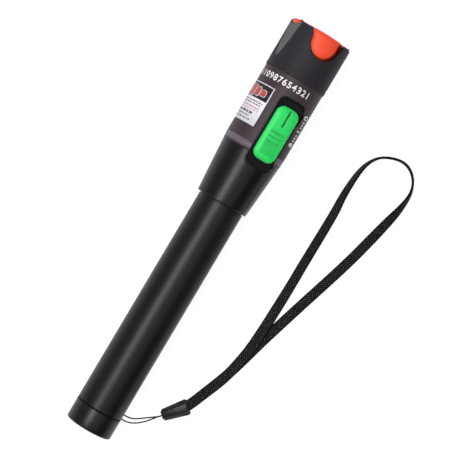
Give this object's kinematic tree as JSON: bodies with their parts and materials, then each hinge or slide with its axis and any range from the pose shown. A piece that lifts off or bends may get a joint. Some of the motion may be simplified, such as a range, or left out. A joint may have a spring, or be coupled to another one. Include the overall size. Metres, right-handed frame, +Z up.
{
  "type": "visual fault locator",
  "caption": "Pen-shaped visual fault locator with a notched head, sliding switch, ferrule port under a pull-off dust cap, screw-on tail cap and wrist strap.",
  "frame": {"origin": "middle of the pen on the surface that it lies on, the strap left out", "axes": "+X from the tail to the head, +Z up, +Y away from the strap; the pen's own axis rises by 1.365 degrees toward the head"},
  "size_m": [0.1754, 0.0747, 0.0266],
  "materials": {
    "cap_metal": "satin black anodised",
    "seal_rubber": "smooth black",
    "seat_brass": "plain",
    "spring_wire": "nickel plated wire",
    "barrel_metal": "satin black anodised",
    "cell_jacket": "plain sleeve",
    "contact_brass": "plain",
    "head_metal": "satin black anodised",
    "sleeve_film": "satin film",
    "bezel_plastic": "soft gloss",
    "knob_plastic": "soft gloss green",
    "slider_plastic": "moulded",
    "switch_steel": "pressed can",
    "board_laminate": "solder mask",
    "component_black": "moulded",
    "chassis_plastic": "moulded",
    "diode_metal": "plated",
    "holder_brass": "turned",
    "lens_glass": "polished",
    "holder_steel": "turned",
    "ceramic_white": "ground",
    "crown_metal": "satin black anodised",
    "cap_plastic": "moulded orange",
    "cord_black": "thin round cord",
    "clasp_plastic": "moulded",
    "strap_black": "flat braided strap"
  },
  "bodies": {
    "pen_body": {"barrel": "barrel_metal", "battery_rear": "cell_jacket", "battery_front": "cell_jacket", "battery_contact": "contact_brass", "head_housing": "head_metal", "printed_sleeve": "sleeve_film", "switch_bezel": "bezel_plastic", "slide_switch": "switch_steel", "driver_board": "board_laminate", "board_components": "component_black", "chassis": "chassis_plastic", "laser_diode": "diode_metal", "diode_holder": "holder_brass", "focus_lens": "lens_glass", "ferrule_holder": "holder_steel", "port_neck": "holder_steel", "ceramic_sleeve": "ceramic_white", "front_crown": "crown_metal", "lanyard_cord": "cord_black", "cord_clasp": "clasp_plastic", "wrist_strap": "strap_black"},
    "switch_knob": {"slide_knob": "knob_plastic", "switch_slider": "slider_plastic"},
    "dust_cap": {"dust_cap": "cap_plastic", "cap_tongues": "cap_plastic"},
    "spring_carrier": {"spring_seat": "seat_brass", "tail_spring": "spring_wire"},
    "tail_cap": {"tail_cap": "cap_metal", "seal_ring": "seal_rubber"}
  },
  "joints": [
    {"name": "knob_slide", "type": "slide", "parent": "pen_body", "child": "switch_knob", "axis": [0.9997, 0, 0.0238], "range_m": [-0.002, 0.002]},
    {"name": "dust_cap_pull", "type": "slide", "parent": "pen_body", "child": "dust_cap", "axis": [0.9997, 0, 0.0238], "range_m": [0, 0.06]},
    {"name": "tail_cap_travel", "type": "slide", "parent": "pen_body", "child": "spring_carrier", "axis": [-0.9997, 0, -0.0238], "range_m": [0, 0.006]},
    {"name": "tail_cap_turn", "type": "hinge", "parent": "spring_carrier", "child": "tail_cap", "pos_m": [-0.08351, 0, 0.00948], "axis": [-0.9997, 0, -0.0238], "range_deg": [0, 2160]}
  ],
  "couplings": [
    {"joint": "tail_cap_turn", "follows": "tail_cap_travel", "rad_per_m": 6283.2}
  ]
}
